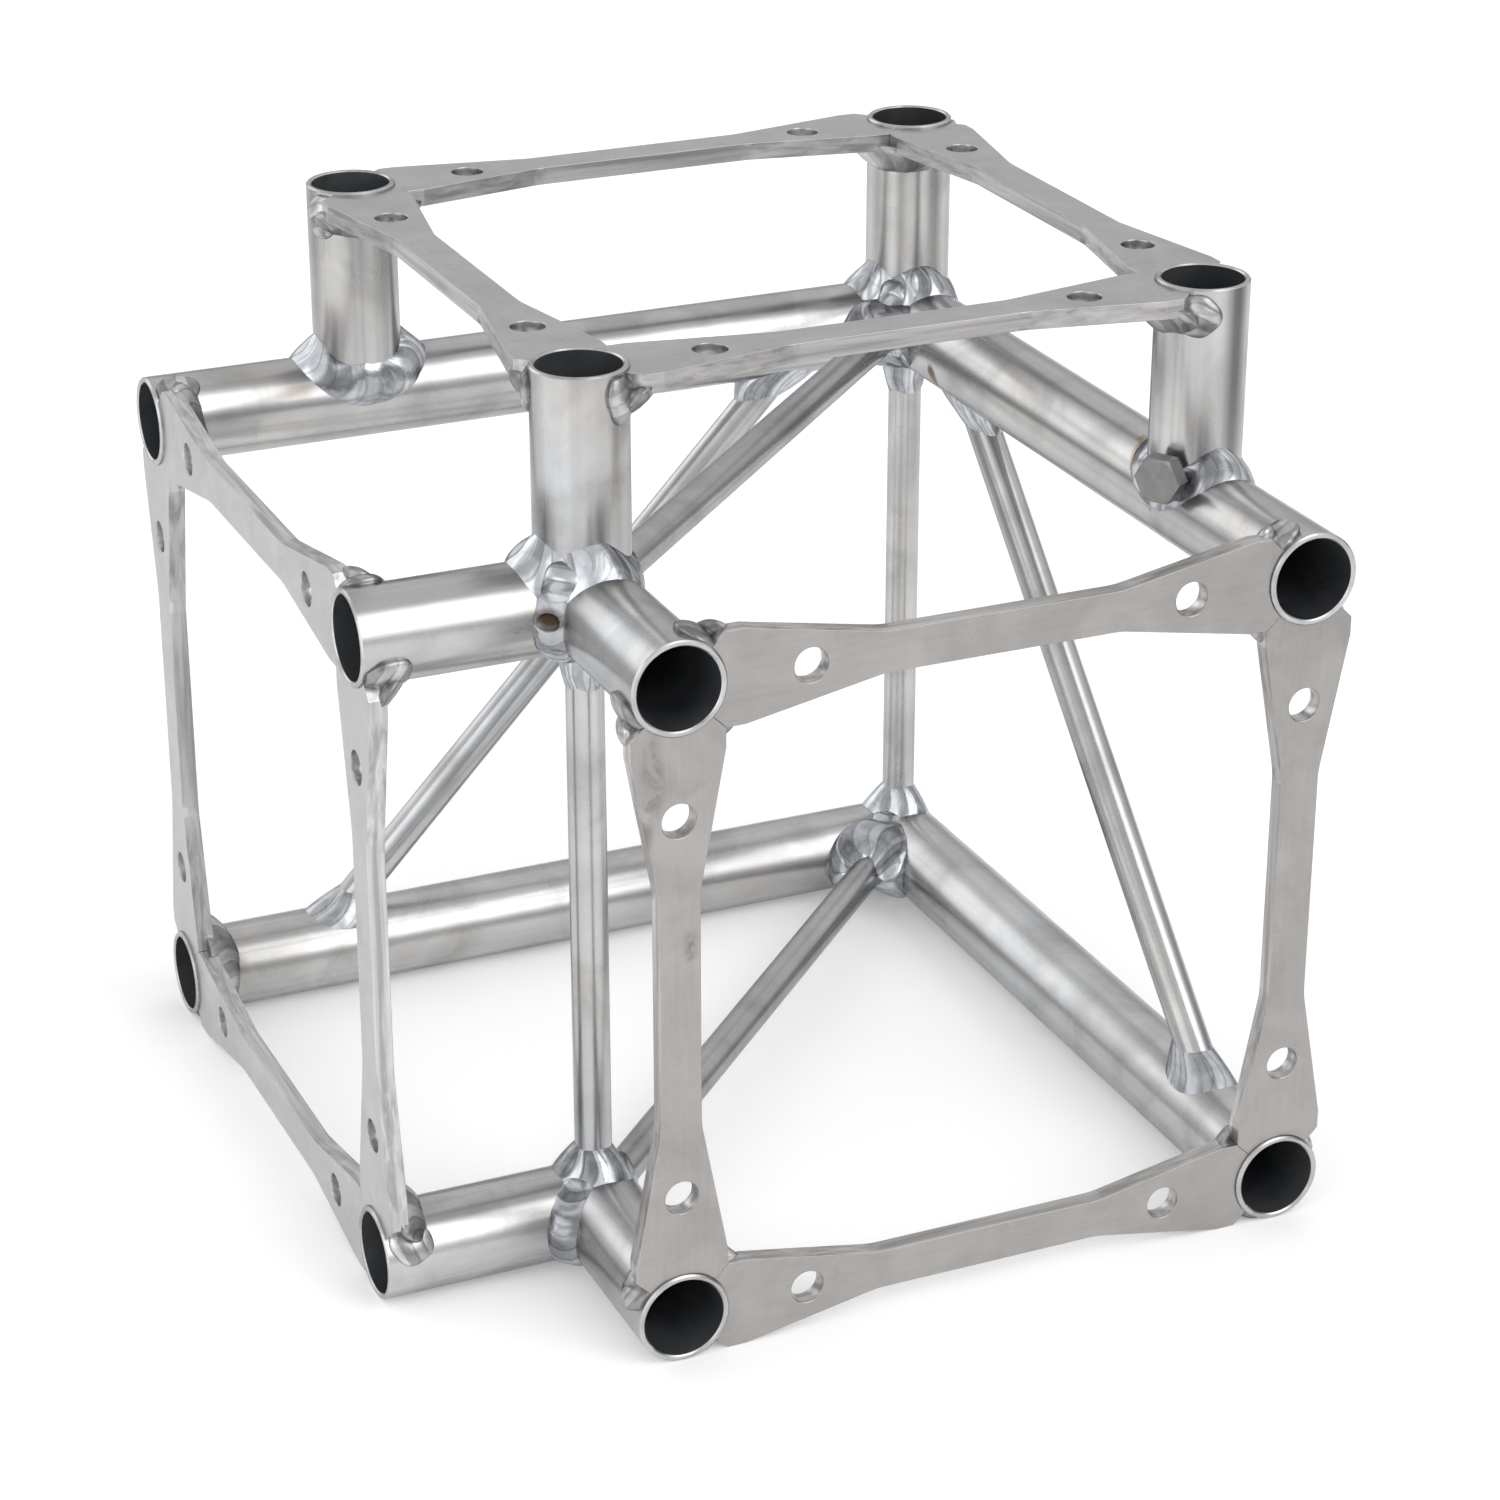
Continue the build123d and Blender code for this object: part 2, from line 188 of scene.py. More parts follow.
def tube_metal(name, axis, stains=(), chord=True, heat_line=None, shade=1.0):
    """Drawn aluminium tube along X, Y or Z (0, 1, 2), or along any line given as a direction.

    A chord's bore is painted dark and less metallic, as painted shade inside the tube. A stain is a centre,
    a size, a colour and a share. The heat line follows a seam's toe: the node it starts from, how far it
    reaches, and its height along the way.
    """
    g = Graph(name)
    place = g.place()
    if isinstance(axis, int):
        stretch = [60.0] * 3
        stretch[axis] = 1.0
        streak_place = g.scaled(place, stretch)
    else:
        turn = g.add("ShaderNodeMapping", vector_type="TEXTURE")
        turn.inputs["Rotation"].default_value = Vector(axis).to_track_quat("Z", "X").to_euler()
        g.put(turn.inputs["Vector"], place)
        streak_place = g.scaled(turn.outputs[0], (60.0, 60.0, 1.0))
    broad = g.noise(streak_place, 1.5, 2.0, 0.5, 0.3)
    fine = g.noise(streak_place, 3.4, 2.0, 0.5, 0.2)
    cloud = g.noise(place, 19.0, 4.0, 0.55, 0.8)
    hue = g.noise(place, 9.0, 2.0, 0.5, 0.5)
    speck = g.noise(place, 420.0, 2.0, 0.7)
    tone = g.ramp(broad, (0.30, (0.43, 0.43, 0.433)), (0.50, (0.505, 0.505, 0.507)),
                  (0.72, (0.58, 0.578, 0.575)))
    tone = g.mix(0.10, tone, g.ramp(fine, (0.35, 0.38), (0.65, 0.64)))
    # shade scales the whole tone down: painted shade for braces that look darker in the light
    tone = g.mix(1.0, tone, (shade, shade, shade), "MULTIPLY")
    drift = g.ramp(hue, (0.38, (1.015, 1.0, 0.98)), (0.62, (0.985, 1.0, 1.015)))
    tone = g.mix(1.0, tone, drift, "MULTIPLY")
    mottle = g.ramp(cloud, (0.32, (1.10, 1.10, 1.10)), (0.50, (1.0, 1.0, 1.0)), (0.70, (0.80, 0.795, 0.79)))
    tone = g.mix(1.0, tone, mottle, "MULTIPLY")
    specks = g.math("MULTIPLY", g.ramp(speck, (0.71, 0.0), (0.78, 1.0)), 0.40)
    tone = g.mix(specks, tone, (0.20, 0.19, 0.18))
    for centre, size, colour, share in stains:
        ragged = g.ramp(cloud, (0.34, 0.45), (0.60, 1.0))
        patch = g.math("MULTIPLY", g.spot(place, centre, size, 0.8), ragged)
        tone = g.mix(g.math("MULTIPLY", patch, share), tone, colour)
    x, y, z = g.parts(place)
    if heat_line is not None:
        node_at, beyond, heights = heat_line
        along = g.math("DIVIDE", g.math("SUBTRACT", y, node_at[1] / 1000), beyond / 1000)
        level = g.math("MULTIPLY", g.ramp(along, *heights), 0.03)
        above = g.math("SUBTRACT", z, (node_at[2] - 3) / 1000)
        gap = g.math("ABSOLUTE", g.math("SUBTRACT", above, level))
        thick = g.math("ADD", 0.0007, g.math("MULTIPLY", cloud, 0.0024))
        line = g.math("SUBTRACT", 1.0, g.math("DIVIDE", gap, thick), clamp=True)
        reach = g.math("MULTIPLY", g.math("GREATER_THAN", along, 0.0), g.math("LESS_THAN", along, 0.98))
        outside = g.math("LESS_THAN", x, (node_at[0] - 6) / 1000)
        line = g.math("MULTIPLY", g.math("MULTIPLY", line, reach), outside)
        tone = g.mix(g.math("MULTIPLY", line, 0.85), tone, (0.38, 0.255, 0.11))
    rough = g.math("ADD", g.math("MULTIPLY", fine, 0.04), g.math("MULTIPLY", broad, 0.14))
    rough = g.math("ADD", rough, g.math("MULTIPLY", cloud, 0.12))
    rough = g.math("ADD", rough, 0.11)
    metal = 1.0
    if chord:
        centres = (mid, mid, mid_z)
        across = []
        for number, part in enumerate((x, y, z)):
            if number != axis:
                offset = g.math("ABSOLUTE", g.math("SUBTRACT", part, centres[number] / 1000))
                across.append(g.math("SUBTRACT", offset, half_pitch / 1000))
        squares = [g.math("MULTIPLY", part, part) for part in across]
        radius = g.math("SQRT", g.math("ADD", *squares))
        bore = g.math("LESS_THAN", radius, (bore_r + 0.12) / 1000)
        # Painted shade: the bore gets a dark tone and less metal, standing in for the shade inside the tube
        inner = g.ramp(cloud, (0.35, (0.10, 0.107, 0.118)), (0.65, (0.20, 0.208, 0.22)))
        tone = g.mix(bore, tone, inner)
        outside_rough = g.math("MULTIPLY", rough, g.math("SUBTRACT", 1.0, bore))
        rough = g.math("ADD", outside_rough, g.math("MULTIPLY", bore, 0.20))
        metal = g.math("SUBTRACT", 1.0, g.math("MULTIPLY", bore, 0.30))
    g.put(g.shader.inputs["Base Color"], tone)
    g.put(g.shader.inputs["Metallic"], metal)
    g.put(g.shader.inputs["Roughness"], rough)
    g.shader.inputs["Specular Tint"].default_value = (0.72, 0.72, 0.73, 1)
    return g.material


def plate_metal(name, tint, grain_axis, thin_axis, side_painted_light_tint, stains=()):
    """Rolled plate: grain along its length, and streaked sawn sides where it is thin, in a side tint of
    their own that is painted light: lighter or darker than the face as the light falls on them.
    """
    g = Graph(name)
    place = g.place()
    stretch = [420.0] * 3
    stretch[grain_axis] = 30.0
    grain = g.noise(g.scaled(place, stretch), 1.0, 3.0, 0.6)
    cloud = g.noise(place, 26.0, 5.0, 0.62, 0.6)
    smudge = g.noise(place, 60.0, 3.0, 0.6, 1.2)
    speck = g.noise(place, 500.0, 2.0, 0.6)
    scratch = g.noise(g.scaled(place, (30.0, 400.0, 700.0), (3.1, 1.7, 0.4)), 1.0, 2.0, 0.5)
    tone = g.ramp(cloud, (0.30, times(tint, 0.84)), (0.70, times(tint, 1.12)))
    tone = g.mix(0.25, tone, g.ramp(grain, (0.3, times(tint, 0.80)), (0.7, times(tint, 1.15))))
    dark = g.math("MULTIPLY", g.ramp(smudge, (0.58, 0.0), (0.76, 1.0)), 0.32)
    tone = g.mix(dark, tone, (0.30, 0.28, 0.26))
    specks = g.math("MULTIPLY", g.ramp(speck, (0.68, 0.0), (0.76, 1.0)), 0.5)
    tone = g.mix(specks, tone, (0.22, 0.20, 0.19))
    facing = g.parts(g.add("ShaderNodeTexCoord").outputs["Normal"])[thin_axis]
    sides = g.math("SUBTRACT", 1.0, g.math("ABSOLUTE", facing))
    sides = g.ramp(sides, (0.3, 0.0), (0.6, 1.0))
    stretch = [260.0] * 3
    stretch[grain_axis] = 9.0
    saw = g.noise(g.scaled(place, stretch), 1.0, 3.0, 0.55, 0.4)
    # Painted light on the sides: their tint paints a highlight on the front and left plates and shade on
    # the top plates, streaked by saw marks
    sawn = g.ramp(saw, (0.36, times(side_painted_light_tint, 0.66)), (0.50, side_painted_light_tint), (0.64, times(side_painted_light_tint, 1.28)))
    tone = g.mix(g.math("MULTIPLY", sides, 0.8), tone, sawn)
    for centre, size, colour, share in stains:
        ragged = g.ramp(smudge, (0.40, 0.1), (0.60, 1.0))
        patch = g.math("MULTIPLY", g.spot(place, centre, size, 0.9), ragged)
        tone = g.mix(g.math("MULTIPLY", patch, share), tone, colour)
    rough = g.math("ADD", g.math("MULTIPLY", grain, 0.22), g.math("MULTIPLY", cloud, 0.12))
    g.put(g.shader.inputs["Base Color"], tone)
    g.shader.inputs["Metallic"].default_value = 1.0
    rough = g.math("SUBTRACT", rough, g.math("MULTIPLY", sides, 0.08))
    g.put(g.shader.inputs["Roughness"], g.math("ADD", rough, 0.23))
    under = g.bump(scratch, 0.00006, 0.3)
    g.put(g.shader.inputs["Normal"], g.bump(grain, 0.00008, 0.35, under))
    return g.material


def weld_metal(name, tone=(0.50, 0.515, 0.54), gloss=0.11, stains=()):
    """Bright cast weld metal: painted shade in the creases between its scales, and along its toes a dark
    line that is partly smut and partly painted shade.
    """
    g = Graph(name)
    place = g.place()
    crease = g.add("ShaderNodeAttribute", attribute_name="crease").outputs["Fac"]
    melt = g.add("ShaderNodeAttribute", attribute_name="melt").outputs["Fac"]
    toe = g.add("ShaderNodeAttribute", attribute_name="toe").outputs["Fac"]
    swirl = g.noise(place, 60.0, 3.0, 0.5, 1.2)
    fine = g.noise(place, 420.0, 3.0, 0.6, 0.4)
    variety = g.math("ADD", g.math("MULTIPLY", swirl, 0.55), g.math("MULTIPLY", melt, 0.45))
    colour = g.ramp(variety, (0.25, times(tone, 0.42)), (0.72, times(tone, 1.36)))
    # Painted shade: the creases between the scales are darkened towards blue-black
    colour = g.mix(g.math("MULTIPLY", crease, 0.65), colour, (0.11, 0.115, 0.13))
    # Toe line: partly smut, partly painted shade where the bead meets the tube
    colour = g.mix(g.math("MULTIPLY", toe, 0.45), colour, (0.20, 0.195, 0.19))
    rough = g.math("ADD", g.math("MULTIPLY", swirl, 0.16), g.math("MULTIPLY", fine, 0.06))
    rough = g.math("ADD", rough, g.math("MULTIPLY", crease, 0.12))
    for centre, size, stain, share in stains:
        patch = g.math("MULTIPLY", g.spot(place, centre, size, 0.7), share)
        colour = g.mix(patch, colour, stain)
        rough = g.math("ADD", rough, g.math("MULTIPLY", patch, 0.35))
    g.put(g.shader.inputs["Base Color"], colour)
    g.shader.inputs["Metallic"].default_value = 1.0
    g.put(g.shader.inputs["Roughness"], g.math("ADD", rough, gloss))
    g.shader.inputs["Specular Tint"].default_value = (0.6, 0.61, 0.63, 1)
    g.put(g.shader.inputs["Normal"], g.bump(fine, 0.00004, 0.25, g.bump(swirl, 0.0006, 0.5)))
    return g.material


def bolt_metal(name):
    g = Graph(name)
    place = g.place()
    cloud = g.noise(place, 120.0, 4.0, 0.6, 0.5)
    fine = g.noise(place, 900.0, 2.0, 0.6)
    tone = g.ramp(cloud, (0.35, (0.235, 0.232, 0.23)), (0.65, (0.30, 0.297, 0.292)))
    g.put(g.shader.inputs["Base Color"], tone)
    g.shader.inputs["Metallic"].default_value = 1.0
    g.put(g.shader.inputs["Roughness"], g.math("ADD", g.math("MULTIPLY", cloud, 0.25), 0.28))
    g.put(g.shader.inputs["Normal"], g.bump(fine, 0.00008, 0.4))
    return g.material


# Weld beads
bead_step, bead_points = 0.6, 50


class Tube:
    """A round tube that carries a weld: what lies under its surface is tucked into its wall."""

    def __init__(self, point, axis, radius, where=None):
        self.point = np.array(point, float)
        self.axis = np.array(axis, float) / np.linalg.norm(axis)
        self.radius = radius
        self.where = where

    def depth(self, points):
        away = points - self.point
        away = away - np.outer(away @ self.axis, self.axis)
        reach = np.linalg.norm(away, axis=1)
        depth = self.radius - reach
        if self.where is not None:
            depth = np.where(self.where(points), depth, -1e9)
        return depth, away / np.maximum(reach, 1e-9)[:, None]


def surface_depth(points, tubes):
    """How deep each point lies under the surface that the tubes make together, and the way out."""
    deepest = np.full(len(points), -1e9)
    outward = np.zeros_like(points)
    for tube in tubes:
        depth, direction = tube.depth(points)
        deeper = depth > deepest
        deepest = np.where(deeper, depth, deepest)
        outward[deeper] = direction[deeper]
    return deepest, outward


def tucked(points, tubes, cover=1.2, rounds=5):
    """The points, with those deeper than cover under the tubes' surface brought out to that depth."""
    for _ in range(rounds):
        depth, outward = surface_depth(points, tubes)
        points = points + outward * np.maximum(depth - cover, 0)[:, None]
    return points


def waves(rng, length, first, last, count=7):
    """A smooth random function along a closed or open path, with waves between two wavelengths."""
    turns = [max(1, round(length / wave)) for wave in np.linspace(first, last, count)]
    phases = rng.uniform(0, 2 * math.pi, count)

    def height_at(s):
        total = sum(np.cos(2 * math.pi * n * s / length + p) for n, p in zip(turns, phases))
        return total / math.sqrt(count)

    return height_at


def skin(rows, around, closed):
    """The quads of a tube made of rows of points, and its two end caps if it isn't closed."""
    faces = []
    for i in range(rows if closed else rows - 1):
        a, b = i * around, ((i + 1) % rows) * around
        faces.extend((a + j, b + j, b + (j + 1) % around, a + (j + 1) % around) for j in range(around))
    if not closed:
        faces.append(tuple(range(around)))
        faces.append(tuple(reversed(range((rows - 1) * around, rows * around))))
    return faces


def bead(path, crown, wide, tall, seed, closed=True, pitch=8.0, height=0.36, bow=6.0, swell=0.9,
         inner=7.0, caps=7.0, power=3.0):
    """A rippled weld bead: rounded scales that overlap like tiles along a path.

    The section is wide to each side of the path, tall above it, flatter with a higher power, and inner
    deep the other way. Where wide is given as vectors, they also say which way the side lies. A scale is
    about a pitch long and stands a height proud, its front bows out by bow, and the bead swells and thins
    by swell. An open bead is rounded off over caps at its ends.
    Returns the points, the faces, and for each point how near a scale's crease it is, its scale's
    own number from 0 to 1, and how near the bead's edge it is.
    """
    rng = np.random.default_rng(seed)
    path, crown = np.array(path, float), np.array(crown, float)
    wide, tall = np.array(wide, float), np.broadcast_to(np.array(tall, float), (len(path),))
    sided = wide.ndim == 2
    wide = wide if sided else np.broadcast_to(wide, (len(path),))[:, None]
    table = np.column_stack([path, crown / np.linalg.norm(crown, axis=1)[:, None], tall, wide])
    if closed:
        table = np.vstack([table, table[:1]])
    run = np.concatenate([[0], np.cumsum(np.linalg.norm(np.diff(table[:, :3], axis=0), axis=1))])
    length = run[-1]
    count = int(length / bead_step)
    s = np.linspace(0, length, count, endpoint=not closed)
    table = np.stack([np.interp(s, run, column) for column in table.T], 1)
    if closed:
        kernel = np.hanning(11) / np.hanning(11).sum()
        around_path = np.vstack([table[-5:], table, table[:5]])
        table = np.stack([np.convolve(column, kernel, "valid") for column in around_path.T], 1)
    centre, out, tall, wide = table[:, :3], table[:, 3:6], table[:, 6], table[:, 7:]
    if closed:
        tangent = np.roll(centre, -1, 0) - np.roll(centre, 1, 0)
    else:
        tangent = np.gradient(centre, axis=0)
    tangent /= np.linalg.norm(tangent, axis=1)[:, None]
    along = tangent if not sided else wide / np.linalg.norm(wide, axis=1)[:, None]
    out = out - along * np.sum(out * along, 1)[:, None]
    out /= np.linalg.norm(out, axis=1)[:, None]
    side = np.cross(tangent, out)
    if sided:
        side = along * np.sign(np.sum(side * along))
    wide = np.linalg.norm(wide, axis=1)

    scales = max(2, round(length / pitch))
    sizes = rng.uniform(0.65, 1.45, scales)
    edges = np.concatenate([[0], np.cumsum(sizes)]) / sizes.sum() * length
    sizes = np.diff(edges)
    lifts, melts = rng.uniform(0.5, 1.15, scales), rng.uniform(0, 1, scales)
    around = bead_points
    turn = 2 * math.pi * np.arange(around) / around - math.pi
    angle = turn - 0.45 * np.sin(turn)
    spans = (48, 15), (40, 14), (34, 9)
    broad, sway, edge_wave = (waves(rng, length, first, last) for first, last in spans)

    ss, aa = np.meshgrid(s, angle, indexing="ij")
    across, upright = np.sin(aa), np.cos(aa)
    where = ss + bow * across ** 2 + 0.8 * sway(ss) * across
    where = np.mod(where, length) if closed else np.clip(where, 0, length - 1e-6)
    scale = np.clip(np.searchsorted(edges, where, side="right") - 1, 0, scales - 1)
    share = (where - edges[scale]) / sizes[scale]
    near_edge = np.minimum(share, 1 - share) * sizes[scale]
    before = np.where(scale > 0, scale - 1, scales - 1 if closed else 0)
    rise = np.clip(where - edges[scale], 0, 1.1) / 1.1
    rise = rise * rise * (3 - 2 * rise)
    slope = np.sqrt(np.clip(1 - 0.80 * share ** 2, 0, 1))
    lift = rise * lifts[scale] * slope + (1 - rise) * lifts[before] * math.sqrt(0.20)
    grow = swell * broad(ss) * (1 - 0.5 * across ** 2) + height * (lift - 0.6)
    grow = np.where(upright > -0.2, grow, 0.0)
    lateral = (wide[:, None] + 0.8 * height * (lift - 0.6) + 0.35 * edge_wave(ss)) * across
    normal = np.where(upright > 0, (tall[:, None] + grow) * (1 - np.abs(across) ** power), inner * upright)
    if not closed:
        end = np.clip(np.minimum(ss, length - ss) / caps, 0, 1)
        taper = np.sqrt(np.clip(1 - (1 - end) ** 2, 0.03, 1))
        lateral, normal = lateral * taper, normal * taper
    points = centre[:, None] + normal[..., None] * out[:, None] + lateral[..., None] * side[:, None]
    crease = np.clip(1 - near_edge / 0.8, 0, 1) * np.clip(lifts[scale], 0, 1)
    melt = rise * melts[scale] + (1 - rise) * melts[before]
    toe = np.clip((np.abs(across) - 0.90) / 0.08, 0, 1)
    marks = np.stack([crease, melt, toe], -1).reshape(-1, 3)
    return points.reshape(-1, 3), skin(count, around, closed), marks


def blob(centre, out, along, wide, long, tall, seed, inner=5.0, pitch=6.5):
    """A rounded pad of weld metal, with a few scales along it. Returns the same as bead."""
    rng = np.random.default_rng(seed)
    out, along = np.array(out, float), np.array(along, float)
    out /= np.linalg.norm(out)
    along -= out * (along @ out)
    along /= np.linalg.norm(along)
    side = np.cross(out, along)
    rows, around = 46, 64
    theta = np.linspace(0.03, math.pi - 0.03, rows)[:, None]
    phi = 2 * math.pi * np.arange(around)[None, :] / around
    phases = rng.uniform(0, 2 * math.pi, 4)
    bulge = (1 + 0.07 * np.cos(2 * phi + phases[0]) + 0.05 * np.cos(3 * phi + phases[1])
             + 0.03 * np.cos(5 * phi + phases[2]))
    across = wide * np.sin(theta) * np.cos(phi) * bulge
    down = long * np.sin(theta) * np.sin(phi) * bulge
    where = down + 2 * long + 5.0 * (across / wide) ** 2 + 0.8 * np.sin(across / 3.0 + phases[3])
    scale, share = np.divmod(where / pitch, 1.0)
    rise = np.clip(share * pitch / 1.3, 0, 1)
    rise = rise * rise * (3 - 2 * rise)
    lift = rise * np.sqrt(1 - 0.80 * share ** 2) + (1 - rise) * math.sqrt(0.20)
    swell = 0.45 * np.cos(across / 4.5 + phases[1]) * np.cos(down / 5.5 + phases[2])
    grow = 0.40 * (lift - 0.6) + swell
    dome = (tall + grow) * np.abs(np.cos(theta)) ** 1.2
    height = np.where(np.cos(theta) > 0, dome, inner * np.cos(theta))
    points = np.array(centre) + across[..., None] * side + down[..., None] * along + height[..., None] * out
    crease = 0.6 * np.clip(1 - np.minimum(share, 1 - share) * pitch / 0.8, 0, 1)
    melt = np.mod(scale * 0.618 + phases[0], 1.0)
    toe = np.clip((np.sin(theta) - 0.93) / 0.06, 0, 1) * np.ones_like(phi)
    marks = np.stack([crease, melt, toe], -1).reshape(-1, 3)
    return points.reshape(-1, 3), skin(rows, around, False), marks


def weld_piece(name, beads, tubes, limits, metal):
    """One weld: its beads joined in one object in the place of the CAD node, kept inside the limits.

    Each bead before the last is dressed a little deeper, so that no two flats lie in one plane.
    """
    points, faces = [], []
    for number, (part_points, part_faces, _) in enumerate(beads):
        shift = sum(len(p) for p in points)
        part_points = tucked(part_points, tubes)
        for axis, side, value in limits:
            bound = value - side * 0.12 * (len(beads) - 1 - number)
            part_points[:, axis] = (np.minimum if side > 0 else np.maximum)(part_points[:, axis], bound)
        points.append(part_points)
        faces.extend(tuple(v + shift for v in face) for face in part_faces)
    marks = np.vstack([part_marks for _, _, part_marks in beads])
    points = np.vstack(points)
    mesh = bpy.data.meshes.new(f"rippled_{name}")
    mesh.from_pydata((points / 1000).tolist(), [], faces)
    for mark, column in zip(("crease", "melt", "toe"), marks.T):
        mesh.attributes.new(mark, "FLOAT", "POINT").data.foreach_set("value", column)
    mesh.shade_smooth()
    piece = bpy.data.objects.new(f"rippled_{name}", mesh)
    bpy.context.scene.collection.objects.link(piece)
    mesh.materials.append(metal)
    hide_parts(name)
    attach(piece, "root")


diagonal = np.array([1, 1, 0]) / math.sqrt(2)
up = np.array([0, 0, 1.0])


def mitre_seam(node):
    """The seam of two chords at a corner node: flat on top, an inner valley and an outer ridge."""
    psi = np.linspace(0, 2 * math.pi, 360, endpoint=False)
    ridge, valley = np.clip(np.cos(psi), 0, 1) ** 1.5, np.clip(-np.cos(psi), 0, 1) ** 1.5
    crease = np.outer(np.cos(psi) * chord_r * math.sqrt(2), diagonal)
    crease += np.outer(np.sin(psi) * chord_r, up)
    crown = np.outer(np.cos(psi) / math.sqrt(2), diagonal) + np.outer(np.sin(psi), up)
    crown /= np.linalg.norm(crown, axis=1)[:, None]
    offset = -1.6 + 8.2 * valley - 4.6 * ridge
    path = np.array(node) + crease + crown * offset[:, None]
    return path, crown, 9.0 + 2.0 * valley, 3.6 - 1.4 * valley + 4.6 * ridge


def smoothed(values, window):
    """The values of a closed line, each a weighted mean with its neighbours."""
    kernel = np.hanning(window + 2)[1:-1]
    kernel /= kernel.sum()
    reach = window // 2
    return sum(weight * np.roll(values, step, 0) for weight, step in zip(kernel, range(-reach, reach + 1)))


def face_between(inner_toe, outer_toe, behind, proud, buried=0.4, spare=1.2):
    """The path, crown directions, side vectors and heights of a bead whose face spans two lines."""
    face = inner_toe - outer_toe
    half_face = np.linalg.norm(face, axis=1) / 2
    face /= 2 * half_face[:, None]
    centre = (inner_toe + outer_toe) / 2
    crown = centre - behind
    crown -= face * np.sum(crown * face, 1)[:, None]
    crown /= np.linalg.norm(crown, axis=1)[:, None]
    return centre - crown * buried, crown, face * (half_face + spare)[:, None], proud + buried


def tee_seam(node, along, start=0.0, arc=360.0, count=360, valley_at=None):
    """The seam of a stub on a chord: a band that stands high at the chord's top and hangs on its flanks.

    Round the angle valley_at the band is filled up, above and below. Such a band ends at the mitre
    between an X and a Y chord.
    """
    along = np.array(along, float)
    across = np.cross(up, along)
    theta = np.radians(np.linspace(start, start + arc, count, endpoint=arc < 360))
    crest = np.abs(np.cos(theta))
    lie = np.outer(np.cos(theta), along) + np.outer(np.sin(theta), across)
    filled = np.zeros_like(theta)
    if valley_at is not None:
        filled = np.exp(-((np.degrees(theta) - valley_at) / 32) ** 2)
    inner_toe = lie * chord_r + np.outer(24.5 + 14.0 * crest ** 5 + 5.5 * filled, up)
    lean = np.radians(88 + 14 * filled) * np.sin(theta)
    outer_toe = (np.outer(39.5 * np.cos(theta), along) + np.outer(chord_r * np.sin(lean), across)
                 + np.outer(chord_r * np.cos(lean), up))
    if valley_at is not None:
        outer_toe[:, 0] = np.minimum(outer_toe[:, 0], outer_toe[:, 1])
    behind = lie * 10.0 + np.outer(5 + 5 * crest, up)
    path, crown, wide, tall = face_between(inner_toe, outer_toe, behind, 0.3 + 2.4 * (1 - crest ** 2))
    return path + np.array(node), crown, wide, tall


def corner_stub_seam(node):
    """The seam of a stub on a mitred corner: the tee seam of each chord on its own side of the mitre."""
    path, crown, wide, tall = tee_seam(node, (1, 0, 0), 45, 180, 240, 225)
    local = path - np.array(node)
    mirrored = [1, 0, 2]
    path, crown, wide = (np.vstack([part, part[::-1][1:-1][:, mirrored]]) for part in (local, crown, wide))
    return path + np.array(node), crown, wide, np.concatenate([tall, tall[::-1][1:-1]])


def fillet_seam(start, direction, carriers, leg_up, leg_out, proud=0.5, count=200):
    """The seam in the corner that a brace makes with the tubes it stands on, from start along direction.

    Its face spans from leg_up along the brace to leg_out over the tubes.
    """
    start, direction = np.array(start, float), np.array(direction, float)
    direction = direction / np.linalg.norm(direction)
    u = np.cross(direction, up if abs(direction[2]) < 0.9 else np.array([1.0, 0, 0]))
    u /= np.linalg.norm(u)
    v = np.cross(direction, u)
    psi = np.linspace(0, 2 * math.pi, count, endpoint=False)
    lie = np.outer(np.cos(psi), u) + np.outer(np.sin(psi), v)
    inside, outside = np.zeros(count), np.full(count, 4 * chord_r)
    for _ in range(24):
        middle_way = (inside + outside) / 2
        depth, _ = surface_depth(start + lie * brace_r + np.outer(middle_way, direction), carriers)
        inside = np.where(depth > 0, middle_way, inside)
        outside = np.where(depth > 0, outside, middle_way)
    corner = start + lie * brace_r + np.outer(smoothed(inside, 11), direction)
    _, normal = surface_depth(corner, carriers)
    away = lie - normal * np.sum(lie * normal, 1)[:, None]
    away /= np.linalg.norm(away, axis=1)[:, None]
    outer_toe = corner + away * leg_out
    for _ in range(3):
        depth, outward = surface_depth(outer_toe, carriers)
        outer_toe = outer_toe + outward * depth[:, None]
    outer_toe = smoothed(outer_toe, 23)
    return face_between(corner + direction * leg_up, outer_toe, corner, np.full(count, proud))


def pitted(points, centre, wide, high, depth, crown):
    """The points round a small crater, pushed in against the crown direction."""
    crown = np.array(crown, float) / np.linalg.norm(crown)
    away = np.linalg.norm((points - np.array(centre)) / (wide, wide, high), axis=1)
    fall = np.where(away < 1, (1 - away ** 2) ** 0.6, 0)
    lip = 0.2 * np.exp(-((away - 1.15) / 0.22) ** 2)
    return points - np.outer(fall * depth - lip, crown)


def below_mitre(node):
    return lambda p: (p[:, 0] - node[0]) < (p[:, 1] - node[1])


def above_mitre(node):
    return lambda p: (p[:, 0] - node[0]) >= (p[:, 1] - node[1])


def side_of(point, direction):
    point, direction = np.array(point, float), np.array(direction, float)
    return lambda p: (p - point) @ direction > 0


def round_stub(node, core=14.0):
    """Above the node and off the middle of its stub, where the bore shows the mitre seam below."""
    return lambda p: (p[:, 2] > node[2]) & (np.hypot(p[:, 0] - node[0], p[:, 1] - node[1]) > core)


